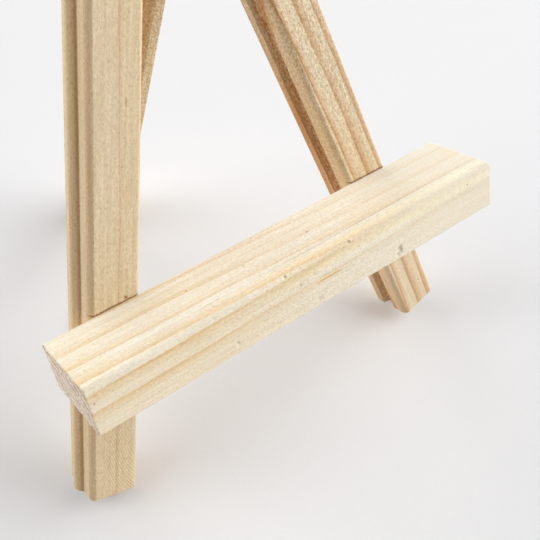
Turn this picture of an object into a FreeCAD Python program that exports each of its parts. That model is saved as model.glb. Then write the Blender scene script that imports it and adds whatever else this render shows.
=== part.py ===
import FreeCAD, Part
import math
import os

# Small three-legged wooden display easel, in millimetres.
# The part stands on z = 0 with its front towards -Y and +X to the right of someone facing it.
# The origin is on the floor, in the middle between the two front legs.
#
# The two front legs and the ledge are modelled upright in a "panel" frame of their own:
#   z = 0 at the ledge's top face, y = 0 at the front faces of the legs, x = 0 midway between them.
# The panel is then leaned back and set on the floor.

# ---- legs: three equal strips of moulded pine ----
LEG_LENGTH = 150.0
STRIP_WIDTH = 11.8            # across the strip, without its tongue
STRIP_DEPTH = 12.0            # from the front face to the back face
ARRIS_WIDTH = 1.0             # the front edges are rounded over, from a crisp line this far in
ARRIS_DEPTH = 1.9             # to this far behind the front face
TONGUE_START = 4.8            # how far behind the front face the tongue begins
TONGUE_CREST = 7.0
TONGUE_END = 9.8
TONGUE_HEIGHT = 1.4
GROOVE_START = 4.9            # the groove is in the side opposite the tongue
GROOVE_END = 9.1
GROOVE_DEPTH = 1.7

# ---- how the legs stand ----
SPLAY = 17.0                  # each front leg leans inwards by this, in degrees
LEAN = 15.0                   # the whole panel leans back by this
OPENING = 39.0                # between the panel and the rear leg when open
LEG_SPACING = 72.0            # between the front legs' centre lines, at the ledge's top face
FOOT_BELOW_LEDGE = 50.5       # along the leg, from the ledge's top face to the square-cut foot

# ---- ledge ----
LEDGE_LENGTH = 112.0
LEDGE_DEPTH = 20.0
LEDGE_HEIGHT = 12.0
LEDGE_OFFSET = 2.5            # the ledge is fixed this far right of the middle
LEDGE_ARRIS_RADIUS = 1.5      # rounding of its upper front edge
KERF_FROM_BACK = 15.2         # a fine scored line along the ledge's top
KERF_WIDTH = 0.3
KERF_DEPTH = 0.3

# ---- pivot: one bolt through the tops of all three legs ----
PIVOT_HEIGHT = 85.0           # above the ledge's top face, along the panel
PIVOT_DEPTH = STRIP_DEPTH / 2.0
SIDE_GAP = 0.25               # between the rear leg and each front leg
BOLT_RADIUS = 1.5
PIVOT_CLEARANCE = 0.05        # radial, between the bolt and the rear leg's bore
SEAT_RADIUS = 3.75            # flat-bottomed seat for the washer, cut into the leg's sloping side
SEAT_DISTANCE = 14.4          # from the middle plane to the bottom of each seat
WASHER_RADIUS = 3.5
WASHER_THICKNESS = 0.5
HEAD_RADIUS = 2.8
HEAD_HEIGHT = 2.0
HEAD_CROWN = 0.8              # height of the domed part of the bolt's head
SLOT_WIDTH = 0.8
SLOT_DEPTH = 1.0
NUT_ACROSS_FLATS = 5.5
NUT_HEIGHT = 2.4
NUT_DOME_RADIUS = 2.45
NUT_WALL_RADIUS = 2.5         # the round skirt between the nut's hexagon and its dome
NUT_SKIRT = 0.6
BOLT_BEYOND_WASHER = 3.4      # how far the bolt reaches into the cap nut

# ---- brads: thin nails driven from behind, through the legs into the ledge ----
BRAD_LENGTH = 25.0
BRAD_RADIUS = 0.6
BRAD_POINT = 1.2
BRAD_HEAD_RADIUS = 1.1
BRAD_HEAD_THICKNESS = 0.5
BRAD_SPREAD = 3.0             # each brad's distance from the middle of the ledge, along the leg

X_AXIS = FreeCAD.Vector(1, 0, 0)
Y_AXIS = FreeCAD.Vector(0, 1, 0)
Z_AXIS = FreeCAD.Vector(0, 0, 1)
ORIGIN = FreeCAD.Vector(0, 0, 0)

splay = math.radians(SPLAY)
lean = math.radians(LEAN)
rear_lean = math.radians(OPENING - LEAN)
half_width = STRIP_WIDTH / 2.0
half_spacing = LEG_SPACING / 2.0

# The lowest point of each front leg is the inner back corner of its square-cut foot.
foot_corner_below = FOOT_BELOW_LEDGE * math.cos(splay) + half_width * math.sin(splay)
PANEL_LIFT = foot_corner_below * math.cos(lean) + STRIP_DEPTH * math.sin(lean)

# The pivot's place in the standing part, before the part is centred front to back.
pivot_y = PIVOT_DEPTH * math.cos(lean) + PIVOT_HEIGHT * math.sin(lean)
PIVOT_Z = PANEL_LIFT + PIVOT_HEIGHT * math.cos(lean) - PIVOT_DEPTH * math.sin(lean)

# The rear leg stands on the lower front edge of its foot.
REAR_BELOW_PIVOT = (PIVOT_Z - half_width * math.sin(rear_lean)) / math.cos(rear_lean)

# The part reaches from the ledge's lower front edge to the tongue at the rear leg's foot.
front_y = -LEDGE_DEPTH * math.cos(lean) - LEDGE_HEIGHT * math.sin(lean)
back_y = (
    pivot_y
    + REAR_BELOW_PIVOT * math.sin(rear_lean)
    + (half_width + TONGUE_HEIGHT) * math.cos(rear_lean)
)
CENTRING = -(front_y + back_y) / 2.0
PIVOT = FreeCAD.Vector(0, pivot_y + CENTRING, PIVOT_Z)


def point(x, y, z=0.0):
    return FreeCAD.Vector(x, y, z)


def flank(base, crest):
    """An arc from base to crest in the strip's section, level with the strip's side at the crest."""
    rise = crest.x - base.x
    run = base.y - crest.y
    radius = (rise**2 + run**2) / (2.0 * abs(rise))
    half_turn = math.asin(abs(run) / radius) / 2.0
    middle = point(
        crest.x - math.copysign(radius * (1.0 - math.cos(half_turn)), rise),
        crest.y + math.copysign(radius * math.sin(half_turn), run),
    )
    return Part.Arc(base, middle, crest).toShape()


def moulded_strip(length):
    """A strip standing on z = 0: front face at y = 0, tongue on its +X side, groove on its -X side."""
    w = half_width
    front_right = point(w - ARRIS_WIDTH, 0)
    front_left = point(-w + ARRIS_WIDTH, 0)
    arris_right = point(w, ARRIS_DEPTH)
    arris_left = point(-w, ARRIS_DEPTH)
    tongue_front = point(w, TONGUE_START)
    tongue_back = point(w, TONGUE_END)
    crest = point(w + TONGUE_HEIGHT, TONGUE_CREST)
    groove_front = point(-w, GROOVE_START)
    groove_back = point(-w, GROOVE_END)
    deepest = point(-w + GROOVE_DEPTH, (GROOVE_START + GROOVE_END) / 2.0)
    back_right = point(w, STRIP_DEPTH)
    back_left = point(-w, STRIP_DEPTH)
    edges = [
        Part.makeLine(front_left, front_right),
        flank(front_right, arris_right),
        Part.makeLine(arris_right, tongue_front),
        flank(tongue_front, crest),
        flank(tongue_back, crest),
        Part.makeLine(tongue_back, back_right),
        Part.makeLine(back_right, back_left),
        Part.makeLine(back_left, groove_back),
        flank(groove_back, deepest),
        flank(groove_front, deepest),
        Part.makeLine(groove_front, arris_left),
        flank(front_left, arris_left),
    ]
    section = Part.Face(Part.Wire(edges))
    return section.extrude(point(0, 0, length))


def mirrored(shape):
    return shape.mirror(ORIGIN, X_AXIS)


def stand_panel(shape):
    """Lean a shape of the upright panel back and set it on the floor."""
    placed = shape.copy()
    placed.rotate(ORIGIN, X_AXIS, -LEAN)
    placed.translate(point(0, CENTRING, PANEL_LIFT))
    return placed


def across(radius, start, end):
    """A cylinder along X on the pivot's axis, in the panel frame."""
    return Part.makeCylinder(radius, end - start, point(start, PIVOT_DEPTH, PIVOT_HEIGHT), X_AXIS)


def brad_place(offset):
    """Where a right-hand brad enters the back of the leg, in the panel frame."""
    along_leg = -LEDGE_HEIGHT / 2.0 / math.cos(splay) + offset
    return point(
        half_spacing - along_leg * math.sin(splay),
        STRIP_DEPTH,
        along_leg * math.cos(splay),
    )


def brad(offset):
    """A right-hand brad: flat head flush with the leg's back, shank forwards, short point."""
    place = brad_place(offset)
    forwards = point(0, -1, 0)
    shank_length = BRAD_LENGTH - BRAD_POINT
    shank = Part.makeCylinder(BRAD_RADIUS, shank_length, place, forwards)
    tip_base = place + forwards * shank_length
    tip = Part.makeCone(BRAD_RADIUS, 0.0, BRAD_POINT, tip_base, forwards)
    head = Part.makeCylinder(BRAD_HEAD_RADIUS, BRAD_HEAD_THICKNESS, place, forwards)
    return shank.fuse([tip, head]).removeSplitter()


BRAD_OFFSETS = {"upper": BRAD_SPREAD, "lower": -BRAD_SPREAD}


def front_leg():
    """The right front leg in the panel frame: square foot, inner side of the top cut plumb."""
    leg = moulded_strip(LEG_LENGTH)
    leg.translate(point(0, 0, -FOOT_BELOW_LEDGE))
    leg.rotate(ORIGIN, Y_AXIS, -SPLAY)
    leg.translate(point(half_spacing, 0, 0))
    inner_face = PIVOT_DEPTH + SIDE_GAP
    spare = 2.0 * LEG_LENGTH
    waste = Part.makeBox(spare, spare, spare, point(inner_face - spare, -spare / 2.0, -spare / 2.0))
    bore = across(BOLT_RADIUS, 0.0, LEG_SPACING)
    seat = across(SEAT_RADIUS, SEAT_DISTANCE, LEG_SPACING)
    brads = [brad(offset) for offset in BRAD_OFFSETS.values()]
    leg = leg.cut([waste, bore, seat] + brads)
    return divide_front(leg)


def divide_front(leg):
    """Divide a leg's front face where the ledge covers it, so that the part above is a face of its own."""
    far = LEG_SPACING
    corners = [
        point(-far, 0, 0),
        point(far, 0, 0),
        point(far, 0, -LEDGE_HEIGHT),
        point(-far, 0, -LEDGE_HEIGHT),
        point(-far, 0, 0),
    ]
    covered = Part.Face(Part.makePolygon(corners))
    pieces, _ = leg.generalFuse([covered])
    return pieces.Solids[0]


def rear_leg():
    """The rear leg at its open angle: groove to the front, tongue to the back."""
    leg = moulded_strip(LEG_LENGTH)
    leg.rotate(ORIGIN, Z_AXIS, 90)
    leg = mirrored(leg)
    leg.translate(point(-PIVOT_DEPTH, 0, -REAR_BELOW_PIVOT))
    bore_radius = BOLT_RADIUS + PIVOT_CLEARANCE
    bore = Part.makeCylinder(bore_radius, LEG_SPACING, point(-half_spacing, 0, 0), X_AXIS)
    leg = leg.cut(bore)
    leg.rotate(ORIGIN, X_AXIS, OPENING - LEAN)
    leg.translate(PIVOT)
    return leg


def ledge():
    """The bar that the plate stands on, with a scored line and a rounded upper front edge."""
    left = LEDGE_OFFSET - LEDGE_LENGTH / 2.0
    bar = Part.makeBox(LEDGE_LENGTH, LEDGE_DEPTH, LEDGE_HEIGHT, point(left, -LEDGE_DEPTH, -LEDGE_HEIGHT))
    front_top = [
        edge
        for edge in bar.Edges
        if abs(edge.BoundBox.YMin + LEDGE_DEPTH) < 0.01
        and abs(edge.BoundBox.YMax + LEDGE_DEPTH) < 0.01
        and abs(edge.BoundBox.ZMin) < 0.01
    ]
    bar = bar.makeFillet(LEDGE_ARRIS_RADIUS, front_top)
    kerf = Part.makeBox(
        LEDGE_LENGTH,
        KERF_WIDTH,
        KERF_DEPTH,
        point(left, -KERF_FROM_BACK - KERF_WIDTH, -KERF_DEPTH),
    )
    brads = [brad(offset) for offset in BRAD_OFFSETS.values()]
    return bar.cut([kerf] + brads + [mirrored(shape) for shape in brads])


def washer():
    """The right-hand washer, lying in its seat."""
    outer = across(WASHER_RADIUS, SEAT_DISTANCE, SEAT_DISTANCE + WASHER_THICKNESS)
    return outer.cut(across(BOLT_RADIUS, 0.0, LEG_SPACING))


def pivot_bolt():
    """A slotted round-head bolt: its head on the left, its end in the cap nut on the right."""
    seat = SEAT_DISTANCE + WASHER_THICKNESS
    shank = across(BOLT_RADIUS, -seat, seat + BOLT_BEYOND_WASHER)
    head = across(HEAD_RADIUS, -seat - HEAD_HEIGHT, -seat)
    outer_rim = [
        edge
        for edge in head.Edges
        if len(edge.Vertexes) == 1 and abs(edge.BoundBox.XMax + seat + HEAD_HEIGHT) < 0.01
    ]
    head = head.makeFillet(HEAD_CROWN, outer_rim)
    slot = Part.makeBox(
        SLOT_DEPTH,
        SLOT_WIDTH,
        2.0 * HEAD_RADIUS,
        point(
            -seat - HEAD_HEIGHT,
            PIVOT_DEPTH - SLOT_WIDTH / 2.0,
            PIVOT_HEIGHT - HEAD_RADIUS,
        ),
    )
    return shank.fuse(head.cut(slot)).removeSplitter()


def cap_nut():
    """A hexagon with a round skirt and a domed cap, closed over the bolt's end."""
    seat = SEAT_DISTANCE + WASHER_THICKNESS
    corner_radius = NUT_ACROSS_FLATS / math.sqrt(3.0)
    corners = []
    for step in range(7):
        turn = math.radians(60 * step)
        corners.append(
            point(
                seat,
                PIVOT_DEPTH + corner_radius * math.cos(turn),
                PIVOT_HEIGHT + corner_radius * math.sin(turn),
            )
        )
    hexagon = Part.Face(Part.makePolygon(corners)).extrude(point(NUT_HEIGHT, 0, 0))
    skirt_end = seat + NUT_HEIGHT + NUT_SKIRT
    skirt = across(NUT_WALL_RADIUS, seat + NUT_HEIGHT, skirt_end)
    dome = Part.makeSphere(NUT_DOME_RADIUS, point(skirt_end, PIVOT_DEPTH, PIVOT_HEIGHT), X_AXIS, 0, 90)
    thread = across(BOLT_RADIUS, seat, seat + BOLT_BEYOND_WASHER)
    return hexagon.fuse([skirt, dome]).cut(thread).removeSplitter()


def build():
    right_leg = front_leg()
    nodes = {
        "front_leg_left": stand_panel(mirrored(right_leg)),
        "front_leg_right": stand_panel(right_leg),
        "rear_leg": rear_leg(),
        "ledge": stand_panel(ledge()),
        "pivot_bolt": stand_panel(pivot_bolt()),
        "pivot_nut": stand_panel(cap_nut()),
        "washer_left": stand_panel(mirrored(washer())),
        "washer_right": stand_panel(washer()),
    }
    for height, offset in BRAD_OFFSETS.items():
        nodes["brad_left_" + height] = stand_panel(mirrored(brad(offset)))
        nodes["brad_right_" + height] = stand_panel(brad(offset))
    return nodes


def main():
    os.makedirs("parts", exist_ok=True)
    for name, shape in build().items():
        solids = shape.Solids
        assert len(solids) == 1 and solids[0].isValid(), name
        solids[0].exportStep("parts/" + name + ".step")
        box = solids[0].BoundBox
        print(
            "%-18s %9.1f mm3  x %7.2f %7.2f  y %7.2f %7.2f  z %7.2f %7.2f"
            % (name, solids[0].Volume, box.XMin, box.XMax, box.YMin, box.YMax, box.ZMin, box.ZMax)
        )
    print("pivot", PIVOT, "panel lift", PANEL_LIFT, "centring", CENTRING)
    print("rear leg below the pivot", REAR_BELOW_PIVOT)


main()
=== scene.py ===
"""The looks of a small wooden plate display easel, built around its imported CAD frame."""
import math

import bmesh
import bpy
from mathutils import Matrix, Vector, noise


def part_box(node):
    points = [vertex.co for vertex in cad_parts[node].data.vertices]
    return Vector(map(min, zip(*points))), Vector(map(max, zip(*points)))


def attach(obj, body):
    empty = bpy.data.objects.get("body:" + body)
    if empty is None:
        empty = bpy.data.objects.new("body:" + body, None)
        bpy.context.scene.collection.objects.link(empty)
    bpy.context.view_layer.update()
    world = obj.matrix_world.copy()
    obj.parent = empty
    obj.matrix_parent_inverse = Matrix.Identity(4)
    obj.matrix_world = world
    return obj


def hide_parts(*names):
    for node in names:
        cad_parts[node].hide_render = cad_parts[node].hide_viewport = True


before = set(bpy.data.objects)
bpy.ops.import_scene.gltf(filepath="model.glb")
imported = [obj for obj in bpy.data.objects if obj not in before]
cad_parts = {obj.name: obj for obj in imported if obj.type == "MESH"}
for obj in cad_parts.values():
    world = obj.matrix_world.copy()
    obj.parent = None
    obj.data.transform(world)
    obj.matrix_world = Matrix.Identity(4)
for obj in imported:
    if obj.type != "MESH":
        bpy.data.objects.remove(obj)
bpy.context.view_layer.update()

MM = 0.001

# ---- sizes shared with the CAD source, in millimetres and degrees ----
LEG_LENGTH = 150.0
STRIP_WIDTH = 11.8
STRIP_DEPTH = 12.0
ARRIS_WIDTH = 1.0
ARRIS_DEPTH = 1.9
TONGUE_START = 4.8
TONGUE_CREST = 7.0
TONGUE_END = 9.8
TONGUE_HEIGHT = 1.4
GROOVE_START = 4.9
GROOVE_END = 9.1
GROOVE_DEPTH = 1.7
SPLAY = 17.0
LEAN = 15.0
OPENING = 39.0
LEG_SPACING = 72.0
FOOT_BELOW_LEDGE = 50.5
LEDGE_LENGTH = 112.0
LEDGE_DEPTH = 20.0
LEDGE_HEIGHT = 12.0
LEDGE_OFFSET = 2.5
LEDGE_ARRIS_RADIUS = 1.5
PIVOT_HEIGHT = 85.0
PIVOT_DEPTH = STRIP_DEPTH / 2.0
SIDE_GAP = 0.25
BOLT_RADIUS = 1.5
PIVOT_CLEARANCE = 0.05
SEAT_RADIUS = 3.75
SEAT_DISTANCE = 14.4
BRAD_HEAD_RADIUS = 1.1
BRAD_HEAD_THICKNESS = 0.5
BRAD_SPREAD = 3.0

# ---- how finely the wood is meshed, in millimetres ----
LEG_STEP = 0.5
LEDGE_STEP = 0.34
EDGE_SOFTNESS = 0.22          # rounding of the sawn ends' edges
FLANK_PIECES = 9              # straight runs in each curved flank of the moulding
SHARP_ANGLE = 38.0            # edges bent more than this, in degrees, stay sharp

# The cutter left a fine line along the ledge's top, this far forward of the legs' front faces.
CUTTER_LINE_PLACE = 15.2

# The ledge's upper front edge is torn about this line: height above the top plus distance forward.
TORN_EDGE_PLACE = 17.6

splay = math.radians(SPLAY)


def turn(angle, axis):
    return Matrix.Rotation(math.radians(angle), 4, axis)


def shift(x, y, z):
    return Matrix.Translation(Vector((x, y, z)) * MM)


# The front legs and the ledge are built as an upright panel, as in the CAD source, which is then leaned
# back and set in place by its pivot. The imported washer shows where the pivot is.
washer_low, washer_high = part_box("washer_right")
pivot = (washer_low + washer_high) / 2.0
pivot.x = 0.0
STAND = Matrix.Translation(pivot) @ turn(-LEAN, "X") @ shift(0.0, -PIVOT_DEPTH, -PIVOT_HEIGHT)

# The rear leg tilts back, and this much of it is below the pivot, so that its foot is on the floor.
REAR_TILT = OPENING - LEAN
REAR_BELOW_PIVOT = (
    (pivot.z / MM - STRIP_WIDTH / 2.0 * math.sin(math.radians(REAR_TILT)))
    / math.cos(math.radians(REAR_TILT))
)


# =====================================================================================
# Growth rings: one description, shared by the meshes' relief and the materials
# =====================================================================================

class Rings:
    """Growth rings in a stick's own frame, in mm, with the grain along z.

    pith is the rings' centre at z = 0 and drift is how far it moves over the stick's length. sway bends
    it from side to side, more slowly for a longer sway_length. lines are the dark latewood bands, each
    (outer radius, width, strength, evenness), and at most 7. A band darkens outwards and stops sharply:
    evenly across its width for an evenness of 1, mostly in its last part for 0.
    """

    def __init__(self, pith, drift, length, lines, sway=0.3, sway_length=31.0):
        self.pith = pith
        self.drift = drift
        self.length = length
        self.sway = sway
        self.sway_length = sway_length
        lines = sorted(lines)
        self.inner = lines[0][0] - lines[0][1] - 1.0
        self.outer = lines[-1][0] + 1.0
        self.stops = [(self.inner, 0.0)]     # (radius, darkness), with straight runs between them
        for radius, width, strength, evenness in lines:
            self.stops.append((radius - width, 0.0))
            self.stops.append((radius - 0.3 * width, strength * (0.28 + 0.42 * evenness)))
            self.stops.append((radius - 0.1, strength))
            self.stops.append((radius + 0.1, 0.0))

    def centre(self, z):
        share = z / self.length
        sway = self.sway * math.sin(z / self.sway_length)
        return self.pith[0] + self.drift[0] * share + sway, self.pith[1] + self.drift[1] * share

    def darkness(self, x, y, z):
        """How dark the latewood is at a point, from 0 to 1."""
        cx, cy = self.centre(z)
        radius = math.hypot(x - cx, y - cy)
        previous_radius, previous = self.stops[0]
        for stop_radius, value in self.stops[1:]:
            if radius <= stop_radius:
                span = max(stop_radius - previous_radius, 1e-6)
                return previous + (value - previous) * max(0.0, radius - previous_radius) / span
            previous_radius, previous = stop_radius, value
        return 0.0


# =====================================================================================
# Node graphs
# =====================================================================================

class Graph:
    """A material's node graph, with short calls for the nodes used here."""

    def __init__(self, name):
        self.material = bpy.data.materials.new(name)
        self.material.use_nodes = True
        self.tree = self.material.node_tree
        self.tree.nodes.clear()
        self.output = self.tree.nodes.new("ShaderNodeOutputMaterial")
        self.shader = self.tree.nodes.new("ShaderNodeBsdfPrincipled")
        self.tree.links.new(self.shader.outputs[0], self.output.inputs[0])

    def link(self, value, socket):
        if isinstance(value, bpy.types.NodeSocket):
            self.tree.links.new(value, socket)
        else:
            socket.default_value = value

    def math(self, operation, a, b=0.0, c=0.0, clamp=False):
        node = self.tree.nodes.new("ShaderNodeMath")
        node.operation = operation
        node.use_clamp = clamp
        for value, socket in zip((a, b, c), node.inputs):
            self.link(value, socket)
        return node.outputs[0]

    def vector(self, operation, a, b=(0.0, 0.0, 0.0)):
        node = self.tree.nodes.new("ShaderNodeVectorMath")
        node.operation = operation
        self.link(a, node.inputs[0])
        self.link(b, node.inputs[1])
        return node.outputs["Value"] if operation == "LENGTH" else node.outputs[0]

    def split(self, vector):
        node = self.tree.nodes.new("ShaderNodeSeparateXYZ")
        self.link(vector, node.inputs[0])
        return node.outputs[0], node.outputs[1], node.outputs[2]

    def join(self, x, y, z):
        node = self.tree.nodes.new("ShaderNodeCombineXYZ")
        for value, socket in zip((x, y, z), node.inputs):
            self.link(value, socket)
        return node.outputs[0]

    def position(self):
        """The point in the piece's own frame, in mm."""
        node = self.tree.nodes.new("ShaderNodeTexCoord")
        return self.vector("MULTIPLY", node.outputs["Object"], (1000.0, 1000.0, 1000.0))

    def noise(self, position, scale, detail=2.0, roughness=0.5, colour=False):
        """Noise at scale cycles per mm; scale is one number or one for each axis."""
        node = self.tree.nodes.new("ShaderNodeTexNoise")
        if not isinstance(scale, tuple):
            scale = (scale, scale, scale)
        self.link(self.vector("MULTIPLY", position, scale), node.inputs["Vector"])
        node.inputs["Scale"].default_value = 1.0
        node.inputs["Detail"].default_value = detail
        node.inputs["Roughness"].default_value = roughness
        return node.outputs["Color" if colour else "Fac"]

    def cells(self, position, scale):
        """Voronoi cells: the distance to each cell's middle, and the cell's own random number."""
        node = self.tree.nodes.new("ShaderNodeTexVoronoi")
        self.link(self.vector("MULTIPLY", position, scale), node.inputs["Vector"])
        node.inputs["Scale"].default_value = 1.0
        red, _, _ = self.split(node.outputs["Color"])
        return node.outputs["Distance"], red

    def ramp(self, value, stops):
        """Straight runs between stops, each (place, level). A ramp holds at most 32 of them."""
        node = self.tree.nodes.new("ShaderNodeValToRGB")
        elements = node.color_ramp.elements
        while len(elements) > 1:
            elements.remove(elements[-1])
        for number, (place, level) in enumerate(stops):
            element = elements[0] if number == 0 else elements.new(place)
            element.position = place
            element.color = (level, level, level, 1.0)
        self.link(value, node.inputs[0])
        return node.outputs[0]

    def between(self, value, low, high, to_low=0.0, to_high=1.0):
        """value brought from low..high to to_low..to_high, and held inside them."""
        node = self.tree.nodes.new("ShaderNodeMapRange")
        node.clamp = True
        self.link(value, node.inputs["Value"])
        for name, number in (
            ("From Min", low), ("From Max", high), ("To Min", to_low), ("To Max", to_high),
        ):
            node.inputs[name].default_value = number
        return node.outputs["Result"]

    def mix(self, share, a, b, blend="MIX"):
        node = self.tree.nodes.new("ShaderNodeMix")
        node.data_type = "RGBA"
        node.blend_type = blend
        node.clamp_factor = True
        self.link(share, node.inputs["Factor"])
        for value, socket in ((a, node.inputs[6]), (b, node.inputs[7])):
            if isinstance(value, tuple):
                value = (*value, 1.0)
            self.link(value, socket)
        return node.outputs[2]

    def bump(self, height, distance):
        """distance is how far, in mm, a height of 1 stands out."""
        node = self.tree.nodes.new("ShaderNodeBump")
        node.inputs["Distance"].default_value = distance * MM
        self.link(height, node.inputs["Height"])
        return node.outputs[0]

    def finish(self, colour, roughness, normal, **constants):
        self.link(colour, self.shader.inputs["Base Color"])
        self.link(roughness, self.shader.inputs["Roughness"])
        self.link(normal, self.shader.inputs["Normal"])
        for name, value in constants.items():
            self.shader.inputs[name.replace("_", " ")].default_value = value
        return self.material


def linear(red, green, blue):
    """An sRGB colour, 0 to 255, as the linear numbers that nodes take."""
    found = []
    for value in (red, green, blue):
        share = value / 255.0
        found.append(share / 12.92 if share <= 0.04045 else ((share + 0.055) / 1.055) ** 2.4)
    return tuple(found)


# =====================================================================================
# Materials
# =====================================================================================

def ring_darkness(graph, position, rings):
    """How dark the latewood is at each point, from 0 to 1, on slightly wavy rings."""
    wander = graph.noise(position, (0.12, 0.12, 0.02), colour=True)
    wander = graph.vector("SUBTRACT", wander, (0.5, 0.5, 0.5))
    wander = graph.vector("MULTIPLY", wander, (1.1, 1.1, 0.0))
    x, y, z = graph.split(graph.vector("ADD", position, wander))
    share = graph.math("DIVIDE", z, rings.length)
    sway = graph.math("SINE", graph.math("DIVIDE", z, rings.sway_length))
    centre_x = graph.math("MULTIPLY_ADD", share, rings.drift[0], rings.pith[0])
    centre_x = graph.math("MULTIPLY_ADD", sway, rings.sway, centre_x)
    centre_y = graph.math("MULTIPLY_ADD", share, rings.drift[1], rings.pith[1])
    from_pith = graph.join(graph.math("SUBTRACT", x, centre_x), graph.math("SUBTRACT", y, centre_y), 0.0)
    radius = graph.vector("LENGTH", from_pith)
    span = rings.outer - rings.inner
    stops = [((stop_radius - rings.inner) / span, value) for stop_radius, value in rings.stops]
    return graph.ramp(graph.between(radius, rings.inner, rings.outer), stops)


def elsewhere(graph, place, seed):
    """The place moved away by a seed, so that no two woods get the same noise."""
    return graph.vector("ADD", place, (seed, seed * 1.7, seed * 2.3))


def marked(graph, place, marks):
    """From 0 to 1 inside any of the marks, each (x, y, z, reach across, reach along, strength)."""
    total = 0.0
    for x, y, z, across, along, strength in marks:
        away = graph.vector("SUBTRACT", place, (x, y, z))
        away = graph.vector("DIVIDE", away, (across, across, along))
        inside = graph.between(graph.vector("LENGTH", away), 0.55, 1.0, strength, 0.0)
        total = graph.math("MAXIMUM", total, inside)
    return total


def shaded(graph, colour, tone):
    """The colour times a grey tone."""
    return graph.mix(1.0, colour, graph.join(tone, tone, tone), "MULTIPLY")


def product(graph, first, *others):
    """All the values times each other."""
    for other in others:
        first = graph.math("MULTIPLY", first, other)
    return first


def close_to(graph, value, place, flat, reach, strength=1.0):
    """strength within flat of place, falling to 0 at reach from it."""
    away = graph.math("ABSOLUTE", graph.math("SUBTRACT", value, place))
    return graph.between(away, flat, reach, strength, 0.0)


PALE_PATCH = linear(255, 243, 222)
# The colour of cut cells in the speckle, also used as painted shade at the tongue's root.
CUT_CELL_AND_SHADE = linear(214, 176, 128)
RESIN_SPOT = linear(160, 102, 46)
RESIN_STREAK = linear(232, 176, 74)
# Painted contact shadow where the ledge meets the front legs.
CONTACT_SHADOW = linear(160, 104, 50)
# Painted shade: a warm tint for the moulding's arrises, tongue and groove side.
SHADE_WARMTH = linear(250, 241, 231)
# Painted shade along the bottom of the ledge's cutter line.
CUTTER_LINE_SHADE = linear(202, 172, 128)
PALE_LEDGE = linear(250, 243, 226)
END_PORE = linear(146, 104, 88)


def pine(name, rings, early, late, seed, speckle=1.0, resin=0.5, marks=(), ring_fade=None,
         speckle_fade=None, touches=()):
    """Bare pine along the grain: early and late wood, fibres, speckle and small resin spots.

    ring_fade(graph, place) and speckle_fade(graph, place) weaken the rings and the speckle from place
    to place. Each of touches takes (graph, place, moved, colour, height) and gives back a new colour
    and height.
    """
    graph = Graph(name)
    place = graph.position()
    moved = elsewhere(graph, place, seed)
    rings_dark = ring_darkness(graph, place, rings)

    # The latewood comes and goes along the grain, and its fibres break it up.
    along = graph.between(graph.noise(moved, (0.25, 0.25, 0.035), detail=3.0), 0.3, 0.7, 0.7, 1.15)
    fibres = graph.noise(moved, (3.0, 3.0, 0.10), detail=4.0, roughness=0.65)
    broken = graph.between(fibres, 0.25, 0.75, 0.75, 1.2)
    rings_dark = graph.math("MULTIPLY", rings_dark, graph.math("MULTIPLY", along, broken), clamp=True)
    if ring_fade is not None:
        rings_dark = graph.math("MULTIPLY", rings_dark, ring_fade(graph, place))
    colour = graph.mix(rings_dark, early, late)

    # Broad patches, then fine streaks along the grain and a speckle of cut cells.
    patches = graph.between(graph.noise(moved, (0.10, 0.10, 0.02)), 0.35, 0.65, 0.0, 0.5)
    colour = graph.mix(patches, colour, PALE_PATCH, "MULTIPLY")
    streaks = graph.noise(moved, (1.6, 1.6, 0.05), detail=3.0)
    grains = graph.noise(moved, (2.4, 2.4, 1.4), detail=3.0, roughness=0.7)
    fade = 1.0 if speckle_fade is None else speckle_fade(graph, place)
    grains = graph.math("MULTIPLY_ADD", graph.math("SUBTRACT", grains, 0.5), fade, 0.5)
    threads = graph.math("MULTIPLY_ADD", fibres, 0.45, graph.math("MULTIPLY", streaks, 0.55))
    threads = graph.mix(graph.between(threads, 0.32, 0.68), (0.90, 0.885, 0.835), (1.09, 1.10, 1.15))
    colour = graph.mix(1.0, colour, threads, "MULTIPLY")
    dark = (1.0 - 0.10 * speckle, 1.0 - 0.16 * speckle, 1.0 - 0.24 * speckle)
    light = (1.0 + 0.10 * speckle, 1.0 + 0.12 * speckle, 1.0 + 0.14 * speckle)
    speckled = graph.mix(graph.between(grains, 0.3, 0.7), dark, light)
    colour = graph.mix(1.0, colour, speckled, "MULTIPLY")
    specks = graph.noise(moved, (2.9, 2.9, 1.6))
    specks = graph.between(specks, 0.58, 0.72, 0.0, min(1.0, 0.6 * speckle))
    colour = graph.mix(graph.math("MULTIPLY", specks, fade), colour, CUT_CELL_AND_SHADE, "MULTIPLY")

    # Small brown resin spots, and the marks that this piece happens to have.
    distance, chance = graph.cells(moved, (0.62, 0.62, 0.30))
    spot = graph.between(distance, 0.05, 0.11, 1.0, 0.0)
    spot = graph.math("MULTIPLY", spot, graph.math("GREATER_THAN", chance, 1.0 - 0.12 * resin))
    spot = graph.math("MAXIMUM", spot, marked(graph, place, marks))
    colour = graph.mix(graph.math("MULTIPLY", spot, 0.85), colour, RESIN_SPOT)

    # Relief: fibres and cut cells are rough, and latewood stands a little proud.
    height = graph.math("MULTIPLY_ADD", fibres, 0.8, graph.math("MULTIPLY", rings_dark, 0.4))
    height = graph.math("MULTIPLY_ADD", grains, 1.5 * speckle, height)
    height = graph.math("MULTIPLY_ADD", spot, -1.2, height)
    for touch in touches:
        colour, height = touch(graph, place, moved, colour, height)
    roughness = graph.between(fibres, 0.3, 0.7, 0.72, 0.86)
    return graph.finish(colour, roughness, graph.bump(height, 0.05), IOR=1.45, Specular_IOR_Level=0.25)


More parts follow.
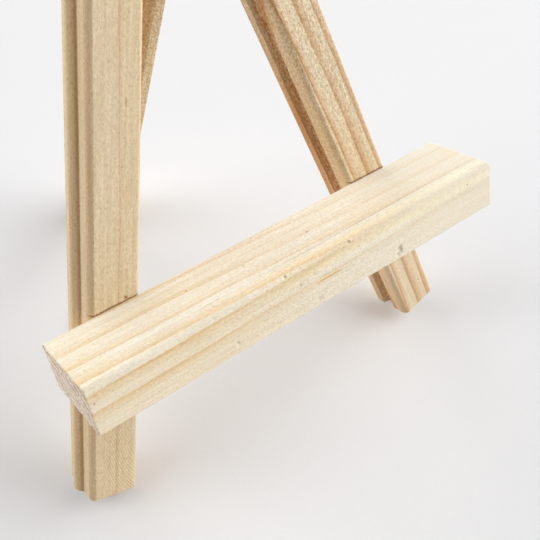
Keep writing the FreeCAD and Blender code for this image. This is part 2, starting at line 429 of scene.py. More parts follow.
def sawn(graph, place, moved, colour, height):
    """Slanting saw marks, clear in the foot and almost gone above the ledge."""
    bend = graph.vector("SUBTRACT", graph.noise(moved, 0.06, detail=1.0, colour=True), (0.5, 0.5, 0.5))
    x, _, z = graph.split(graph.vector("ADD", place, graph.vector("MULTIPLY", bend, (5.0, 5.0, 9.0))))
    slanted = graph.math("MULTIPLY_ADD", x, -1.86, graph.math("MULTIPLY", z, -1.0))
    wave = graph.between(graph.math("SINE", graph.math("MULTIPLY", slanted, 4.9)), 0.2, 1.0)
    _, depth, _ = graph.split(place)
    in_foot = graph.between(z, 18.0, 40.0, 1.0, 0.08)
    on_front = graph.between(depth, 0.2, 0.4, 1.0, 0.0)
    patchy = graph.between(graph.noise(moved, (0.5, 0.5, 0.2)), 0.34, 0.52)
    lines = product(graph, wave, patchy, in_foot, on_front)
    height = graph.math("MULTIPLY_ADD", lines, 1.2, height)
    return shaded(graph, colour, graph.math("MULTIPLY_ADD", lines, 0.12, 0.97)), height


def contact_shade(section):
    """A painted contact shadow: a dark hair line on a front leg's face, along the ledge's top and bottom
    edges.

    section(graph, place) gives where a point is in the strip's section, as strip_corners has it.
    """
    def touch(graph, place, moved, colour, height):
        u, d = section(graph, place)
        _, _, z = graph.split(place)
        up = graph.math("MULTIPLY", graph.math("SUBTRACT", z, FOOT_BELOW_LEDGE), math.cos(splay))
        up = graph.math("MULTIPLY_ADD", u, math.sin(splay), up)
        up = graph.math("ADD", up, graph.between(graph.noise(moved, 0.8), 0.3, 0.7, -0.16, 0.16))
        at_top = close_to(graph, up, 0.0, 0.10, 0.28)
        at_bottom = close_to(graph, up, -LEDGE_HEIGHT, 0.10, 0.28)
        on_front = graph.between(d, 0.0, 2.0, 0.8, 0.0)
        line = graph.math("MULTIPLY", graph.math("MAXIMUM", at_top, at_bottom), on_front)
        # Painted shadow along the ledge's edges where it meets the leg.
        return graph.mix(line, colour, CONTACT_SHADOW, "MULTIPLY"), height
    return touch


def moulding_shade(section, groove_shade):
    """Painted shade on the moulding: warmer arrises, tongue and groove side, a darker groove and a dark
    line at the tongue's root.
    """
    def touch(graph, place, moved, colour, height):
        u, d = section(graph, place)
        half = STRIP_WIDTH / 2.0
        at_corner = graph.between(graph.math("ABSOLUTE", u), half - 0.95, half - 0.6)
        corner = graph.math("MULTIPLY", at_corner, graph.between(d, 1.6, 2.0, 1.0, 0.0))
        above_side = graph.between(u, half + 0.05, half + 0.35)
        tongue = graph.math("MULTIPLY", above_side, graph.between(d, 6.0, TONGUE_CREST, 1.0, 0.0))
        on_inner_side = graph.between(u, 0.3 - half, 0.5 - half, 1.0, 0.0)
        inner = graph.math("MULTIPLY", on_inner_side, graph.math("LESS_THAN", d, 9.0))
        # Painted shade: the arrises, the tongue and the groove's side, which face away from the light,
        # get a warm shade tint.
        warm = graph.math("MAXIMUM", corner, graph.math("MAXIMUM", tongue, inner))
        colour = graph.mix(warm, colour, SHADE_WARMTH, "MULTIPLY")

        rough = graph.noise(moved, (1.9, 1.9, 1.1), detail=3.0, roughness=0.7)
        # Painted shade: the groove is darkened with a shade colour in place of the shade deep in it; its
        # rough relief is real.
        groove = product(
            graph,
            graph.between(u, 0.06 - half, 1.1 - half),
            close_to(graph, d, (GROOVE_START + GROOVE_END) / 2.0, 2.0, 2.3),
            graph.math("LESS_THAN", u, 0.0),
            graph.between(rough, 0.36, 0.62, 0.25, 1.0),
        )
        colour = graph.mix(groove, colour, groove_shade, "MULTIPLY")
        height = graph.math("MULTIPLY_ADD", graph.math("MULTIPLY", groove, rough), 3.0, height)

        # Painted shade: a dark line in the crease at the tongue's root.
        at_root = close_to(graph, d, TONGUE_START, 0.0, 0.5, 0.8)
        root_shade = graph.math("MULTIPLY", at_root, graph.math("GREATER_THAN", u, half - 0.3))
        return graph.mix(root_shade, colour, CUT_CELL_AND_SHADE, "MULTIPLY"), height
    return touch


def ledge_fade(graph, place):
    """The ledge's rings weaken to the right, and are faint low on its front."""
    x, _, z = graph.split(place)
    fade = graph.between(z, 40.0, LEDGE_LENGTH, 1.0, 0.5)
    return graph.math("MULTIPLY", fade, graph.between(x, -8.8, -7.2, 0.15, 1.0))


def crisp_middle(graph, place):
    """The ledge's speckle is strongest along its middle."""
    _, _, z = graph.split(place)
    away = graph.math("ABSOLUTE", graph.math("SUBTRACT", z, 60.0))
    return graph.between(away, 8.0, 34.0, 1.0, 0.55)


def calm_foot(graph, place):
    """The right leg's speckle is strong at the top and faint in the foot."""
    _, _, z = graph.split(place)
    return graph.between(z, 20.0, 90.0, 0.3, 1.0)


def resin_streak(graph, place, moved, colour, height):
    """A thin orange streak of resin in the ledge's front."""
    streak = marked(graph, place, [(-5.8, 19.9, 59.6, 0.25, 5.0, 0.95)])
    return graph.mix(streak, colour, RESIN_STREAK), height


def paler_right_and_top_highlight(graph, place, moved, colour, height):
    """The ledge gets paler towards the right, and its top is painted less yellow than its front as a
    painted highlight.
    """
    x, _, z = graph.split(place)
    colour = graph.mix(graph.between(z, 15.0, LEDGE_LENGTH, 0.0, 0.35), colour, PALE_LEDGE)
    # Painted highlight: the top is paler and less yellow, as its stronger light washes it out.
    top_highlight = graph.between(x, -1.5, -0.3)
    return graph.mix(top_highlight, colour, (0.965, 1.0, 1.06), "MULTIPLY"), height


def cutter_line_and_shade(graph, place, moved, colour, height):
    """The fine cutter line along the ledge's top: a slight dip, with painted shade along its bottom,
    clearest right of the middle.
    """
    x, y, z = graph.split(place)
    wander = graph.between(graph.noise(moved, (0.1, 0.1, 0.05)), 0.3, 0.7, -0.12, 0.12)
    line = product(
        graph,
        close_to(graph, graph.math("ADD", y, wander), CUTTER_LINE_PLACE, 0.05, 0.2),
        graph.math("GREATER_THAN", x, -0.6),
        graph.between(z, 40.0, 66.0, 0.2, 0.8),
        graph.between(z, 80.0, 100.0, 1.0, 0.25),
        graph.between(graph.noise(moved, (0.2, 0.2, 0.09)), 0.35, 0.5, 0.4, 1.0),
    )
    height = graph.math("MULTIPLY_ADD", line, -1.5, height)
    # Painted shade darkens the line.
    return graph.mix(line, colour, CUTTER_LINE_SHADE, "MULTIPLY"), height


def torn_arris_and_highlight(graph, place, moved, colour, height):
    """Torn fibres and small chips along the ledge's upper front edge, with a painted highlight on its
    right part.
    """
    x, y, z = graph.split(place)
    around = graph.math("ADD", x, y)
    band = product(
        graph,
        close_to(graph, around, TORN_EDGE_PLACE, 0.5, 4.0),
        graph.between(x, -4.5, -3.0),
        graph.between(graph.noise(moved, (0.2, 0.2, 0.06)), 0.42, 0.6, 0.15, 1.0),
    )
    chips = graph.noise(moved, (1.5, 1.5, 0.8), detail=4.0, roughness=0.7)
    tone = graph.math("MULTIPLY", graph.math("SUBTRACT", chips, 0.5), graph.math("MULTIPLY", band, 0.35))
    height = graph.math("MULTIPLY_ADD", graph.math("MULTIPLY", chips, band), 2.0, height)
    # Painted highlight: a warm bright band along the edge, right of the middle.
    arris_highlight = close_to(graph, around, TORN_EDGE_PLACE, 0.3, 1.8)
    arris_highlight = graph.math("MULTIPLY", arris_highlight, graph.between(z, 35.0, 60.0))
    colour = graph.mix(arris_highlight, colour, (1.06, 1.06, 0.99), "MULTIPLY")
    return shaded(graph, colour, graph.math("ADD", tone, 1.0)), height


def end_grain(name, rings, seed):
    """The sawn ends: rings and pores, greyer and rougher than the sides."""
    graph = Graph(name)
    place = graph.position()
    moved = elsewhere(graph, place, seed)
    rings_dark = ring_darkness(graph, place, rings)
    colour = graph.mix(rings_dark, END_EARLY, END_LATE)
    torn = graph.noise(moved, 1.2, detail=5.0, roughness=0.7)
    colour = shaded(graph, colour, graph.between(torn, 0.34, 0.66, 0.70, 1.22))
    blotches = graph.noise(moved, 0.45)
    colour = shaded(graph, colour, graph.between(blotches, 0.35, 0.65, 0.90, 1.08))
    pores, chance = graph.cells(moved, (1.9, 1.9, 1.9))
    pore = graph.between(pores, 0.15, 0.42, 1.0, 0.0)
    pore = graph.math("MULTIPLY", pore, graph.math("GREATER_THAN", chance, 0.5))
    colour = graph.mix(graph.math("MULTIPLY", pore, 0.8), colour, END_PORE)
    height = graph.math("MULTIPLY_ADD", pore, -0.6, graph.math("MULTIPLY", torn, 1.6))
    height = graph.math("MULTIPLY_ADD", rings_dark, 0.6, height)
    roughness = graph.between(torn, 0.3, 0.7, 0.8, 0.92)
    return graph.finish(colour, roughness, graph.bump(height, 0.12), IOR=1.4, Specular_IOR_Level=0.2)


def plated_steel(name, tint, dull, scratch_depth):
    """Zinc-plated or bright steel: cloudy tint, fine scratches and a soft shine."""
    graph = Graph(name)
    place = graph.position()
    clouds = graph.noise(place, 0.9, detail=4.0, roughness=0.6)
    colour = graph.mix(graph.between(clouds, 0.3, 0.7), tint, dull)
    scratches = graph.noise(place, (0.6, 7.0, 7.0), detail=3.0)
    roughness = graph.between(clouds, 0.3, 0.7, 0.26, 0.42)
    roughness = graph.math("ADD", roughness, graph.between(scratches, 0.35, 0.65, -0.04, 0.06))
    height = graph.math("MULTIPLY_ADD", scratches, scratch_depth, graph.noise(place, 3.0, detail=3.0))
    return graph.finish(colour, roughness, graph.bump(height, 0.012), Metallic=1.0)


def paper():
    """The pale floor: matt card with a very faint tooth."""
    graph = Graph("pale_floor")
    place = graph.position()
    tooth = graph.noise(place, 0.8, detail=3.0)
    tone = graph.between(tooth, 0.3, 0.7, 0.785, 0.795)
    colour = graph.join(tone, tone, graph.math("MULTIPLY", tone, 1.015))
    return graph.finish(colour, 0.95, graph.bump(tooth, 0.02), IOR=1.3)


# =====================================================================================
# Meshes
# =====================================================================================

def rounded_outline(corners, step):
    """Points round a section, with outward directions, from (x, y, radius) corners in order.

    A corner is rounded by its radius, or kept where that is 0. Long runs are divided to about step.
    """
    count = len(corners)
    area = 0.0
    for i in range(count):
        x0, y0, _ = corners[i]
        x1, y1, _ = corners[(i + 1) % count]
        area += x0 * y1 - x1 * y0
    if area < 0.0:
        corners = list(reversed(corners))
    arcs = []
    for i in range(count):
        before = Vector(corners[i - 1][:2])
        here = Vector(corners[i][:2])
        after = Vector(corners[(i + 1) % count][:2])
        radius = corners[i][2]
        if radius == 0.0:
            arcs.append([here])
            continue
        arriving = (here - before).normalized()
        leaving = (after - here).normalized()
        bend = abs(arriving.angle_signed(leaving))
        reach = min(
            radius * math.tan(bend / 2.0),
            0.48 * (here - before).length,
            0.48 * (after - here).length,
        )
        start, end = here - arriving * reach, here + leaving * reach
        pieces = max(2, int(bend * max(radius, 0.1) / 0.12))
        arc = []
        for k in range(pieces + 1):
            t = k / pieces
            a = start.lerp(here, t)
            b = here.lerp(end, t)
            arc.append(a.lerp(b, t))
        arcs.append(arc)
    points = []
    for i in range(count):
        arc = arcs[i]
        following = arcs[(i + 1) % count][0]
        points.extend(arc)
        gap = (following - arc[-1]).length
        pieces = max(1, round(gap / step))
        for k in range(1, pieces):
            points.append(arc[-1].lerp(following, k / pieces))
    outline = []
    for i, here in enumerate(points):
        along = points[(i + 1) % len(points)] - points[i - 1]
        outline.append((here, Vector((along.y, -along.x)).normalized()))
    return outline


def sweep(name, corners, length, middle, step, sink, end_sink):
    """A stick along z with softly rounded sawn ends.

    The whole outline is in sight from middle. sink(x, y, z) is how far a point of the sides lies below
    the true surface, and end_sink(x, y, end) is the same for the ends, all in mm.
    """
    outline = rounded_outline(corners, step)
    soft = EDGE_SOFTNESS
    count = round((length - 2.0 * soft) / step)
    rounding = [
        (soft * (1.0 - math.sin(angle)), soft * (1.0 - math.cos(angle)))
        for angle in (0.0, math.pi / 6.0, math.pi / 3.0, math.pi / 2.0)
    ]
    levels = list(rounding)
    levels += [(0.0, soft + (length - 2.0 * soft) * k / count) for k in range(1, count)]
    levels += [(inset, length - height) for inset, height in reversed(rounding)]
    mesh = bmesh.new()
    rings = []
    for inset, z in levels:
        ring = []
        for here, out in outline:
            depth = inset + sink(here.x, here.y, z)
            spot = here - out * depth
            end = -1 if z < length / 2.0 else 1
            near_end = max(0.0, 1.0 - min(z, length - z) / 0.8)
            lift = end_sink(here.x, here.y, end) * near_end
            ring.append(mesh.verts.new((spot.x * MM, spot.y * MM, (z - end * lift) * MM)))
        rings.append(ring)
    total = len(outline)
    for lower, upper in zip(rings, rings[1:]):
        for i in range(total):
            j = (i + 1) % total
            mesh.faces.new((lower[i], lower[j], upper[j], upper[i]))

    # Rings of faces from each rim inwards, towards the middle, close the two ends.
    centre = Vector(middle)
    for end, rim in ((-1, rings[0]), (1, rings[-1])):
        z = 0.0 if end < 0 else length
        outer = rim
        for share in (0.94, 0.86, 0.76, 0.65, 0.53, 0.41, 0.29, 0.18, 0.08):
            ring = []
            for vert in rim:
                flat = Vector((vert.co.x, vert.co.y)) / MM
                spot = centre + (flat - centre) * share
                depth = end_sink(spot.x, spot.y, end)
                ring.append(mesh.verts.new((spot.x * MM, spot.y * MM, (z - end * depth) * MM)))
            for i in range(total):
                j = (i + 1) % total
                mesh.faces.new((outer[i], outer[j], ring[j], ring[i]))
            outer = ring
        mesh.faces.new(outer)
    bmesh.ops.recalc_face_normals(mesh, faces=mesh.faces)
    made = bpy.data.meshes.new(name)
    mesh.to_mesh(made)
    mesh.free()
    piece = bpy.data.objects.new(name, made)
    bpy.context.scene.collection.objects.link(piece)
    return piece


def cutter(radius, start, end, sides=48):
    """A cylinder between two points of the piece's own frame, in mm, used to cut and then deleted."""
    start, end = Vector(start) * MM, Vector(end) * MM
    mesh = bmesh.new()
    length = (end - start).length
    bmesh.ops.create_cone(
        mesh, cap_ends=True, segments=sides, radius1=radius * MM, radius2=radius * MM, depth=length,
    )
    facing = (end - start).to_track_quat("Z", "Y").to_matrix().to_4x4()
    mesh.transform(Matrix.Translation((start + end) / 2.0) @ facing)
    made = bpy.data.meshes.new("cutter")
    mesh.to_mesh(made)
    mesh.free()
    tool = bpy.data.objects.new("cutter", made)
    bpy.context.scene.collection.objects.link(tool)
    return tool


def cut(piece, tools):
    """Cut the tools out of the piece, with both still in the piece's own frame."""
    for tool in tools:
        modifier = piece.modifiers.new("cut", "BOOLEAN")
        modifier.object = tool
        modifier.operation = "DIFFERENCE"
        modifier.solver = "EXACT"
    graph = bpy.context.evaluated_depsgraph_get()
    made = bpy.data.meshes.new_from_object(piece.evaluated_get(graph))
    piece.modifiers.clear()
    old = piece.data
    piece.data = made
    bpy.data.meshes.remove(old)
    for tool in tools:
        data = tool.data
        bpy.data.objects.remove(tool)
        bpy.data.meshes.remove(data)


def slice_off(piece, place, direction):
    """Cut away what lies beyond a plane, on the side that direction points to, and close the cut."""
    mesh = bmesh.new()
    mesh.from_mesh(piece.data)
    everything = mesh.verts[:] + mesh.edges[:] + mesh.faces[:]
    found = bmesh.ops.bisect_plane(
        mesh, geom=everything, dist=1e-7, plane_co=place, plane_no=direction, clear_outer=True,
    )
    rim = [item for item in found["geom_cut"] if isinstance(item, bmesh.types.BMEdge)]
    closed = bmesh.ops.contextual_create(mesh, geom=rim)
    bmesh.ops.triangulate(mesh, faces=closed["faces"])
    bmesh.ops.recalc_face_normals(mesh, faces=mesh.faces)
    mesh.to_mesh(piece.data)
    mesh.free()


def finish_wood(piece, side, end):
    """Smooth shading with sharp edges kept, and end grain on the faces that look along the grain."""
    piece.data.materials.clear()
    piece.data.materials.append(side)
    piece.data.materials.append(end)
    mesh = bmesh.new()
    mesh.from_mesh(piece.data)
    mesh.normal_update()
    limit = math.radians(SHARP_ANGLE)
    for face in mesh.faces:
        face.smooth = True
        face.material_index = 1 if abs(face.normal.z) > 0.8 else 0
    for edge in mesh.edges:
        edge.smooth = not (len(edge.link_faces) == 2 and edge.calc_face_angle() > limit)
    mesh.to_mesh(piece.data)
    mesh.free()


def waviness(x, y, z, seed):
    """Gentle unevenness of machined wood, from 0 to 1, longer along the grain."""
    return 0.5 + 0.5 * noise.noise(Vector((x * 0.35 + seed, y * 0.35, z * 0.06)))


def dents(places):
    """A function giving the depth of small dents, each (x, y, z, reach across, reach along, depth)."""
    def depth(x, y, z):
        total = 0.0
        for px, py, pz, across, along, deep in places:
            far = ((x - px) ** 2 + (y - py) ** 2) / across ** 2 + ((z - pz) / along) ** 2
            if far < 1.0:
                total += deep * (1.0 - far) ** 1.5
        return total
    return depth


# =====================================================================================
# The wooden pieces
# =====================================================================================

def flank(base, crest):
    """Points of an arc from base to crest, without its ends, which levels out at the crest."""
    rise = crest[0] - base[0]
    run = base[1] - crest[1]
    radius = (rise * rise + run * run) / (2.0 * abs(rise))
    full_turn = math.asin(abs(run) / radius)
    points = []
    for k in range(1, FLANK_PIECES):
        angle = full_turn * (1.0 - k / FLANK_PIECES)
        points.append((
            crest[0] - math.copysign(radius * (1.0 - math.cos(angle)), rise),
            crest[1] + math.copysign(radius * math.sin(angle), run),
            0.0,
        ))
    return points


def strip_corners(place):
    """The moulded strip's section; place(u, d) gives its point in the piece's own frame.

    u runs across, with the tongue on the + side, and d is how far behind the front face.
    """
    w = STRIP_WIDTH / 2.0
    crest = (w + TONGUE_HEIGHT, TONGUE_CREST)
    deepest = (-w + GROOVE_DEPTH, (GROOVE_START + GROOVE_END) / 2.0)
    section = [(-w + ARRIS_WIDTH, 0.0, 0.15), (w - ARRIS_WIDTH, 0.0, 0.15)]
    section += flank((w - ARRIS_WIDTH, 0.0), (w, ARRIS_DEPTH))
    section += [(w, ARRIS_DEPTH, 0.0), (w, TONGUE_START, 0.08)]
    section += flank((w, TONGUE_START), crest)
    section += [(*crest, 0.0)]
    section += reversed(flank((w, TONGUE_END), crest))
    section += [(w, TONGUE_END, 0.15), (w, STRIP_DEPTH, 0.35)]
    section += [(-w, STRIP_DEPTH, 0.35), (-w, GROOVE_END, 0.12)]
    section += flank((-w, GROOVE_END), deepest)
    section += [(*deepest, 0.0)]
    section += reversed(flank((-w, GROOVE_START), deepest))
    section += [(-w, GROOVE_START, 0.15), (-w, ARRIS_DEPTH, 0.0)]
    section += reversed(flank((-w + ARRIS_WIDTH, 0.0), (-w, ARRIS_DEPTH)))
    return [(*place(u, d), radius) for u, d, radius in section]


def leg_piece(name, place, middle, rings, seed, extra_dents):
    """One length of the moulded strip, standing on z = 0 in its own frame."""
    pits = dents(extra_dents)

    def sink(x, y, z):
        proud = 0.025 * rings.darkness(x, y, z)
        return 0.05 + 0.05 * waviness(x, y, z, seed) - proud + pits(x, y, z)

    def end_sink(x, y, end):
        rough = noise.fractal(Vector((x * 0.9 + seed, y * 0.9, end * 7.0)), 0.8, 2.0, 4)
        return 0.10 + 0.07 * rough - 0.05 * rings.darkness(x, y, 0.0 if end < 0 else LEG_LENGTH)

    return sweep(name, strip_corners(place), LEG_LENGTH, middle, LEG_STEP, sink, end_sink)


SECTION_MIDDLE = (0.0, 7.0)     # as (u, d)

LEFT_RINGS = Rings(
    pith=(45.0, 20.0), drift=(0.2, 1.0), length=LEG_LENGTH,
    lines=[(43.2, 1.2, 0.8, 0.4), (49.2, 1.0, 0.8, 0.4), (55.4, 1.3, 0.8, 0.4)],
)
RIGHT_RINGS = Rings(
    pith=(46.0, 14.0), drift=(-3.0, 1.0), length=LEG_LENGTH, sway=1.9, sway_length=48.0,
    lines=[
        (37.4, 2.4, 0.8, 0.8), (41.3, 2.4, 0.8, 0.8), (45.1, 2.6, 0.8, 0.8),
        (48.8, 2.8, 0.85, 0.8), (52.7, 1.5, 1.0, 0.6), (56.4, 1.4, 0.8, 0.8),
    ],
)
REAR_RINGS = Rings(
    pith=(-6.0, -46.0), drift=(2.0, 2.0), length=LEG_LENGTH,
    lines=[
        (38.6, 1.4, 0.7, 0.6), (42.0, 1.8, 0.8, 0.6), (45.7, 1.6, 0.9, 0.6),
        (49.5, 1.7, 0.8, 0.6), (53.0, 1.6, 0.8, 0.6),
    ],
)
LEDGE_RINGS = Rings(
    pith=(-35.3, -11.2), drift=(1.2, 1.4), length=LEDGE_LENGTH, sway=0.12,
    lines=[
        (31.2, 1.2, 0.4, 0.5), (34.2, 1.2, 0.4, 0.5), (36.9, 0.9, 0.9, 0.2), (38.05, 0.6, 0.4, 0.3),
        (39.65, 2.2, 0.8, 0.35), (42.55, 2.2, 0.9, 0.4), (45.45, 2.0, 1.0, 0.7),
    ],
)


def front_leg(side):
    """A front leg: side is -1 for the left and 1 for the right."""
    name = "left" if side < 0 else "right"
    rings = LEFT_RINGS if side < 0 else RIGHT_RINGS
    mid_u, mid_d = SECTION_MIDDLE
    nicks = {
        -1: [(2.3, 0.0, 54.0, 0.35, 0.4, 0.3), (1.3, 0.0, 103.0, 0.3, 1.5, 0.12)],
        1: [(-2.0, 0.0, 92.0, 0.4, 0.6, 0.12), (1.5, 0.0, 20.0, 0.5, 0.9, 0.1)],
    }[side]
    leg = leg_piece(
        "wood_front_leg_" + name,
        lambda u, d: (side * u, d),
        (side * mid_u, mid_d),
        rings,
        seed=11.0 + side,
        extra_dents=nicks,
    )
    matrix = (
        shift(side * LEG_SPACING / 2.0, 0.0, 0.0)
        @ turn(-side * SPLAY, "Y")
        @ shift(0.0, 0.0, -FOOT_BELOW_LEDGE)
    )
    back = matrix.inverted()

    def own(x, y, z):
        return tuple(back @ (Vector((x, y, z)) * MM) / MM)

    # Its inner face is cut upright beside the rear leg. The bolt's hole and the washer's seat go in it.
    inner_place = Vector((side * (PIVOT_DEPTH + SIDE_GAP), 0.0, 0.0)) * MM
    slice_off(leg, back @ inner_place, back.to_3x3() @ Vector((-side, 0.0, 0.0)))
    middle = own(0.0, PIVOT_DEPTH, PIVOT_HEIGHT)
    seat = own(side * SEAT_DISTANCE, PIVOT_DEPTH, PIVOT_HEIGHT)
    outside = own(side * LEG_SPACING / 2.0, PIVOT_DEPTH, PIVOT_HEIGHT)
    tools = [cutter(BOLT_RADIUS, middle, outside), cutter(SEAT_RADIUS, seat, outside)]
    for offset in (-BRAD_SPREAD, BRAD_SPREAD):
        along = -LEDGE_HEIGHT / 2.0 / math.cos(splay) + offset
        x = side * (LEG_SPACING / 2.0 - along * math.sin(splay))
        z = along * math.cos(splay)
        tools.append(cutter(
            BRAD_HEAD_RADIUS + 0.03,
            own(x, STRIP_DEPTH - BRAD_HEAD_THICKNESS - 0.02, z),
            own(x, STRIP_DEPTH + 1.0, z),
            sides=24,
        ))
    cut(leg, tools)
    leg.matrix_world = STAND @ matrix
    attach(leg, "front_frame")
    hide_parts("front_leg_" + name)
    return leg


def rear_leg():
    """The rear leg: groove to the front and tongue to the back."""
    mid_u, mid_d = SECTION_MIDDLE
    leg = leg_piece(
        "wood_rear_leg",
        lambda u, d: (d - PIVOT_DEPTH, u),
        (mid_d - PIVOT_DEPTH, mid_u),
        REAR_RINGS,
        seed=31.0,
        extra_dents=[],
    )
    left_of_it = (-STRIP_DEPTH, 0.0, REAR_BELOW_PIVOT)
    right_of_it = (STRIP_DEPTH, 0.0, REAR_BELOW_PIVOT)
    cut(leg, [cutter(BOLT_RADIUS + PIVOT_CLEARANCE, left_of_it, right_of_it)])
    tilt = turn(REAR_TILT, "X")
    leg.matrix_world = Matrix.Translation(pivot) @ tilt @ shift(0.0, 0.0, -REAR_BELOW_PIVOT)
    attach(leg, "rear_leg")
    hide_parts("rear_leg")
    return leg


def ledge():
    """The ledge, with x up, y towards the front and z along it from the left, in its own frame."""
    corners = [
        (0.0, 0.0, 0.25),
        (0.0, LEDGE_DEPTH, LEDGE_ARRIS_RADIUS),
        (-LEDGE_HEIGHT, LEDGE_DEPTH, 0.4),
        (-LEDGE_HEIGHT, 0.0, 0.3),
    ]
    # The first two make one larger chip near the right leg, and the others are small nicks.
    pits = dents([
        (-9.4, 20.0, 80.6, 1.2, 0.8, 0.7),
        (-10.5, 20.0, 79.8, 0.9, 0.7, 0.5),
        (-9.2, 20.0, 33.7, 0.6, 0.6, 0.4),
        (-10.0, 20.0, 55.8, 0.55, 1.2, 0.3),
        (-4.0, 20.0, 51.7, 0.4, 0.6, 0.25),
        (-3.2, 20.0, 55.4, 0.4, 0.6, 0.2),
        (0.0, 8.8, 62.5, 0.3, 0.4, 0.2),
        (-0.4, 19.7, 48.2, 0.3, 0.4, 0.3),
        (-0.3, 19.6, 66.2, 0.3, 0.4, 0.25),
    ])

    def scored(x, y):
        """The fine cutter line along the top."""
        if x < -0.2:
            return 0.0
        return 0.12 * max(0.0, 1.0 - abs(y - CUTTER_LINE_PLACE) / 0.3)

    def torn(x, y, z):
        """Chips pulled out of the planed surface along the upper front edge."""
        around_edge = max(0.0, 1.0 - abs(x + y - TORN_EDGE_PLACE) / 4.2)
        above_middle = max(0.0, 1.0 - max(0.0, -x - 3.0) / 1.5)
        chip = max(0.0, noise.noise(Vector((x * 1.3, y * 1.3, z * 0.75 + 9.0))))
        rough = noise.noise(Vector((x * 3.1, y * 3.1, z * 1.9)))
        return around_edge * above_middle * (0.14 * chip + 0.03 * rough)

    def sink(x, y, z):
        marks = pits(x, y, z) + scored(x, y) + torn(x, y, z)
        return 0.07 + 0.05 * waviness(x, y, z, 3.0) - 0.02 * LEDGE_RINGS.darkness(x, y, z) + marks

    def end_sink(x, y, end):
        z = 0.0 if end < 0 else LEDGE_LENGTH
        rough = noise.fractal(Vector((x * 0.7, y * 0.7, end * 5.0)), 0.8, 2.0, 4)
        return max(0.0, 0.20 + 0.13 * rough - 0.07 * LEDGE_RINGS.darkness(x, y, z))

    middle = (-LEDGE_HEIGHT / 2.0, LEDGE_DEPTH / 2.0)
    bar = sweep("wood_ledge", corners, LEDGE_LENGTH, middle, LEDGE_STEP, sink, end_sink)
    axes = Matrix((
        (0.0, 0.0, 1.0, 0.0),
        (0.0, -1.0, 0.0, 0.0),
        (1.0, 0.0, 0.0, 0.0),
        (0.0, 0.0, 0.0, 1.0),
    ))
    bar.matrix_world = STAND @ shift(LEDGE_OFFSET - LEDGE_LENGTH / 2.0, 0.0, 0.0) @ axes
    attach(bar, "front_frame")
    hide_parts("ledge")
    return bar


# ---- the sticks' own early and late wood ----
LEFT_EARLY = linear(232, 214, 182)
LEFT_LATE = linear(214, 180, 142)
RIGHT_EARLY = linear(236, 224, 200)
RIGHT_LATE = linear(204, 154, 102)
REAR_EARLY = linear(238, 226, 200)
REAR_LATE = linear(208, 166, 116)
LEDGE_EARLY = linear(246, 238, 219)
LEDGE_LATE = linear(234, 206, 156)
END_EARLY = linear(244, 228, 208)
END_LATE = linear(200, 164, 138)
# Painted shade colours for the grooves, darker on the front legs and faint on the rear leg, not colours
# of the wood.
FRONT_GROOVE_SHADE = linear(206, 154, 96)
REAR_GROOVE_SHADE = linear(246, 228, 200)

# ---- each stick's own place in the noise ----
LEFT_SEED = 3.0
RIGHT_SEED = 17.0
REAR_SEED = 41.0
LEDGE_SEED = 67.0


def left_section(graph, place):
    x, y, _ = graph.split(place)
    return graph.math("MULTIPLY", x, -1.0), y


def right_section(graph, place):
    x, y, _ = graph.split(place)
    return x, y


def rear_section(graph, place):
    x, y, _ = graph.split(place)
    return y, graph.math("ADD", x, PIVOT_DEPTH)


LEFT_WOOD = pine(
    "pine_left", LEFT_RINGS, LEFT_EARLY, LEFT_LATE, LEFT_SEED, speckle=0.9, resin=0.6,
    marks=[(2.3, 0.0, 51.9, 0.5, 0.45, 1.0), (1.9, 0.0, 93.5, 0.3, 1.2, 0.4)],
    touches=[sawn, moulding_shade(left_section, FRONT_GROOVE_SHADE), contact_shade(left_section)],
)
RIGHT_WOOD = pine(
    "pine_right", RIGHT_RINGS, RIGHT_EARLY, RIGHT_LATE, RIGHT_SEED, speckle=2.5,
    speckle_fade=calm_foot,
    touches=[moulding_shade(right_section, FRONT_GROOVE_SHADE), contact_shade(right_section)],
)
REAR_WOOD = pine(
    "pine_rear", REAR_RINGS, REAR_EARLY, REAR_LATE, REAR_SEED, speckle=2.7, resin=1.6,
    touches=[moulding_shade(rear_section, REAR_GROOVE_SHADE)],
)
LEDGE_WOOD = pine(
    "pine_ledge", LEDGE_RINGS, LEDGE_EARLY, LEDGE_LATE, LEDGE_SEED, speckle=1.15, resin=0.3,
    marks=[
        (0.0, 9.0, 62.5, 0.42, 0.5, 1.0),
        (0.0, 9.1, 44.5, 0.36, 0.4, 0.7),
        (0.0, 7.3, 30.8, 0.36, 0.4, 0.6),
        (-0.3, 19.4, 66.2, 0.45, 0.4, 0.9),
        (-0.2, 19.3, 48.4, 0.42, 0.42, 0.9),
        (-3.2, 20.0, 55.4, 0.36, 0.4, 0.6),
        (-4.0, 20.0, 51.6, 0.45, 0.5, 0.8),
        (-9.2, 20.0, 33.7, 0.4, 0.5, 0.5),
        (-10.0, 20.0, 81.0, 1.0, 0.5, 0.3),
    ],
    ring_fade=ledge_fade,
    speckle_fade=crisp_middle,
    touches=[paler_right_and_top_highlight, cutter_line_and_shade, torn_arris_and_highlight, resin_streak],
)
finish_wood(front_leg(-1), LEFT_WOOD, end_grain("pine_left_end", LEFT_RINGS, LEFT_SEED))
finish_wood(front_leg(1), RIGHT_WOOD, end_grain("pine_right_end", RIGHT_RINGS, RIGHT_SEED))
finish_wood(rear_leg(), REAR_WOOD, end_grain("pine_rear_end", REAR_RINGS, REAR_SEED))
finish_wood(ledge(), LEDGE_WOOD, end_grain("pine_ledge_end", LEDGE_RINGS, LEDGE_SEED))

# =====================================================================================
# The metal pieces keep their CAD shapes
# =====================================================================================

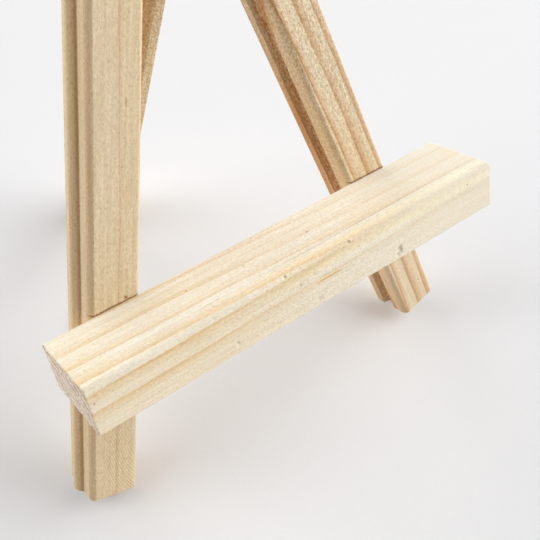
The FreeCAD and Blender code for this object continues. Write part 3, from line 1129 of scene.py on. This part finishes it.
METALS = {
    "pivot_bolt": plated_steel("zinc_bolt_steel", (0.60, 0.60, 0.58), (0.50, 0.50, 0.50), 0.5),
    "pivot_nut": plated_steel("zinc_nut_steel", (0.64, 0.64, 0.61), (0.54, 0.54, 0.53), 0.3),
    "washer_left": plated_steel("zinc_washer_steel", (0.62, 0.62, 0.60), (0.52, 0.52, 0.52), 0.8),
    "brad_left_upper": plated_steel("wire_brad_steel", (0.45, 0.44, 0.42), (0.34, 0.33, 0.32), 0.8),
}
METALS["washer_right"] = METALS["washer_left"]
for brad in ("brad_left_lower", "brad_right_upper", "brad_right_lower"):
    METALS[brad] = METALS["brad_left_upper"]
for node, material in METALS.items():
    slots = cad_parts[node].data.materials
    if len(slots) == 0:
        slots.append(material)
    for number in range(len(slots)):
        slots[number] = material

# =====================================================================================
# Floor, light and camera
# =====================================================================================

FLOOR_SIZE = 4.0              # metres, and so are the lights' places
LIGHT_DISTANCE = 3.0
LIGHT_SIZE = 2.4
LIGHT_AIM = (0.0, 0.0, 0.05)

bpy.ops.mesh.primitive_plane_add(size=FLOOR_SIZE, location=(0.0, 0.0, -0.0001))
floor = bpy.context.object
floor.name = "floor"
floor.data.materials.append(paper())


def soft_box(name, heading, height, power):
    """A round soft box: heading in degrees from the front round to the right, height above level."""
    data = bpy.data.lights.new(name, "AREA")
    data.shape = "DISK"
    data.size = LIGHT_SIZE
    data.energy = power
    lamp = bpy.data.objects.new(name, data)
    bpy.context.scene.collection.objects.link(lamp)
    heading, height = math.radians(heading), math.radians(height)
    level = math.cos(height)
    away = Vector((math.sin(heading) * level, -math.cos(heading) * level, math.sin(height)))
    lamp.location = Vector(LIGHT_AIM) + LIGHT_DISTANCE * away
    lamp.rotation_euler = (-away).to_track_quat("-Z", "Y").to_euler()


# A ring of low soft boxes, with none at the front left where the camera stands, and some higher ones.
soft_box("right_front", 45.0, 15.0, 46.0)
soft_box("right", 90.0, 25.0, 39.0)
soft_box("right_back", 135.0, 15.0, 23.0)
soft_box("back", 180.0, 15.0, 43.0)
soft_box("left_back", 225.0, 15.0, 39.0)
soft_box("high_right", 55.0, 45.0, 35.0)
soft_box("high_left", 250.0, 45.0, 26.0)
soft_box("overhead", 0.0, 89.0, 10.0)

scene = bpy.context.scene
scene.view_settings.view_transform = "Standard"

# The room is pale to look at and gives almost no light of its own.
scene.world = bpy.data.worlds.new("studio")
scene.world.use_nodes = True
room = scene.world.node_tree
sky = room.nodes["Background"]
sky.inputs["Color"].default_value = (1.0, 1.0, 1.0, 1.0)
sky.inputs["Strength"].default_value = 0.02
backdrop = room.nodes.new("ShaderNodeBackground")
backdrop.inputs["Color"].default_value = (0.88, 0.88, 0.89, 1.0)
seen = room.nodes.new("ShaderNodeLightPath")
either = room.nodes.new("ShaderNodeMixShader")
room.links.new(seen.outputs["Is Camera Ray"], either.inputs[0])
room.links.new(sky.outputs[0], either.inputs[1])
room.links.new(backdrop.outputs[0], either.inputs[2])
room.links.new(either.outputs[0], room.nodes["World Output"].inputs["Surface"])

CAMERA_PLACE = (-78.4, -143.8, 177.7)
CAMERA_AIM = (0.1, -41.5, 45.0)
camera_data = bpy.data.cameras.new("camera")
camera_data.sensor_width = 36.0
camera_data.lens = 53.0
camera_data.clip_start = 0.01
camera_data.clip_end = 20.0
camera = bpy.data.objects.new("camera", camera_data)
scene.collection.objects.link(camera)
camera.location = Vector(CAMERA_PLACE) * MM
camera.rotation_euler = (Vector(CAMERA_AIM) - Vector(CAMERA_PLACE)).to_track_quat("-Z", "Y").to_euler()
scene.camera = camera
